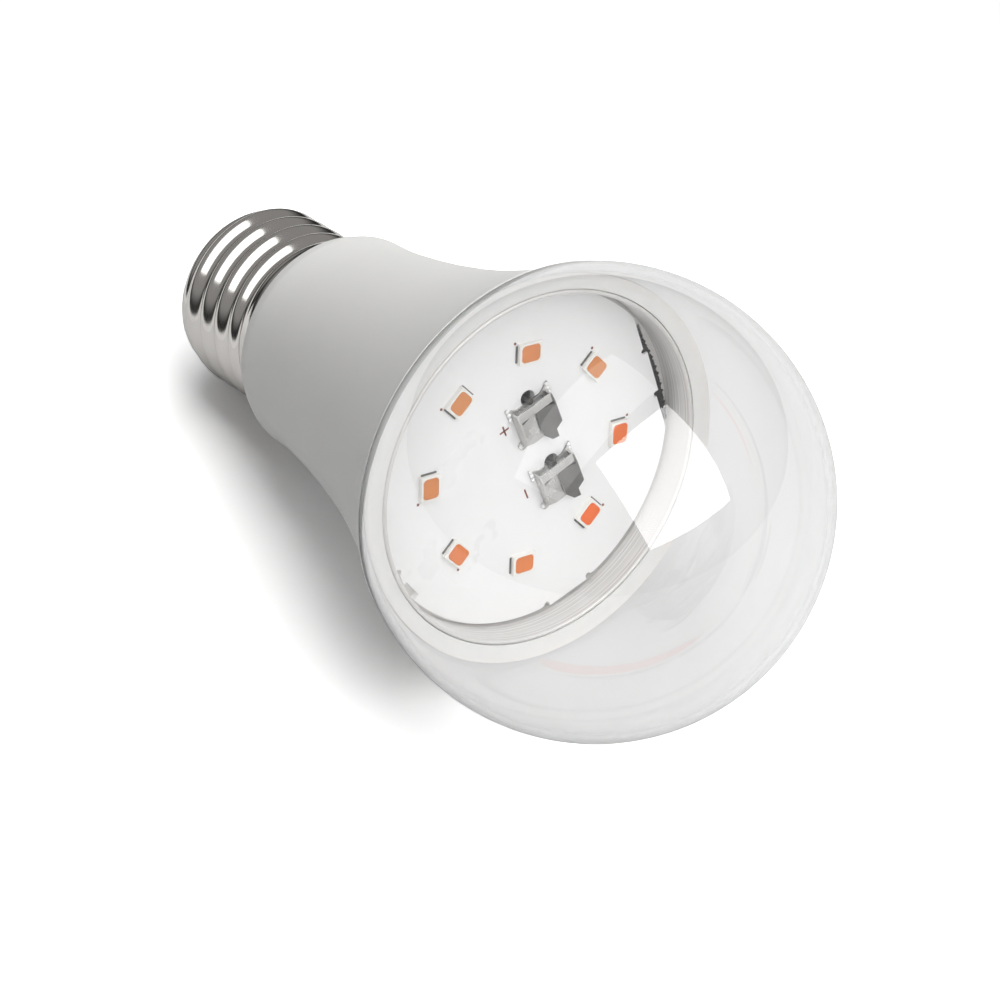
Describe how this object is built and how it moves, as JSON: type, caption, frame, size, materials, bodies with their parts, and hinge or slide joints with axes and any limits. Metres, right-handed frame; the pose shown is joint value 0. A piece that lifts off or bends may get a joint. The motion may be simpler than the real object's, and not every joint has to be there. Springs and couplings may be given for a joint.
{
  "type": "grow light bulb",
  "caption": "Clear globe lamp with a ring of orange LEDs on a white board, a flared white housing and a screw cap.",
  "frame": {"origin": "middle of the contact tip, at the bottom of the cap", "axes": "+Z along the lamp axis from the screw cap to the globe; the two LED board clips stand in a row along X"},
  "size_m": [0.06, 0.06, 0.114],
  "materials": {
    "clear_globe": "clear, polished",
    "white_sealant": "satin",
    "white_housing": "fine matt",
    "cup_aluminium": "spun",
    "board_white": "white solder mask",
    "led_white": "moulded",
    "phosphor_orange": "cured resin",
    "clip_tin": "tinned",
    "solder": "bright",
    "pin_tin": "tinned",
    "driver_laminate": "phenolic",
    "capacitor_sleeve": "shrink sleeve",
    "film_capacitor_case": "dipped",
    "ferrite": "sintered",
    "copper_winding": "enamelled",
    "black_epoxy": "moulded",
    "resistor_coat": "lacquer",
    "live_insulation": "satin",
    "neutral_insulation": "satin",
    "cap_nickel": "nickel plate",
    "cap_black": "moulded",
    "contact_nickel": "nickel plate"
  },
  "bodies": {
    "root": {"globe": "clear_globe", "globe_seal": "white_sealant", "housing": "white_housing", "heat_sink_cup": "cup_aluminium", "led_board": "board_white", "led_body_1": "led_white", "led_body_2": "led_white", "led_body_3": "led_white", "led_body_4": "led_white", "led_body_5": "led_white", "led_body_6": "led_white", "led_body_7": "led_white", "led_body_8": "led_white", "led_phosphor_1": "phosphor_orange", "led_phosphor_2": "phosphor_orange", "led_phosphor_3": "phosphor_orange", "led_phosphor_4": "phosphor_orange", "led_phosphor_5": "phosphor_orange", "led_phosphor_6": "phosphor_orange", "led_phosphor_7": "phosphor_orange", "led_phosphor_8": "phosphor_orange", "plus_terminal": "clip_tin", "minus_terminal": "clip_tin", "terminal_solder": "solder", "plus_pin": "pin_tin", "minus_pin": "pin_tin", "driver_board": "driver_laminate", "smoothing_capacitor": "capacitor_sleeve", "film_capacitor": "film_capacitor_case", "choke_core": "ferrite", "choke_winding": "copper_winding", "bridge_rectifier": "black_epoxy", "driver_chip": "black_epoxy", "fuse_resistor": "resistor_coat", "live_lead": "live_insulation", "neutral_lead": "neutral_insulation", "cap_shell": "cap_nickel", "cap_insulator": "cap_black", "tip_contact": "contact_nickel"}
  },
  "joints": []
}
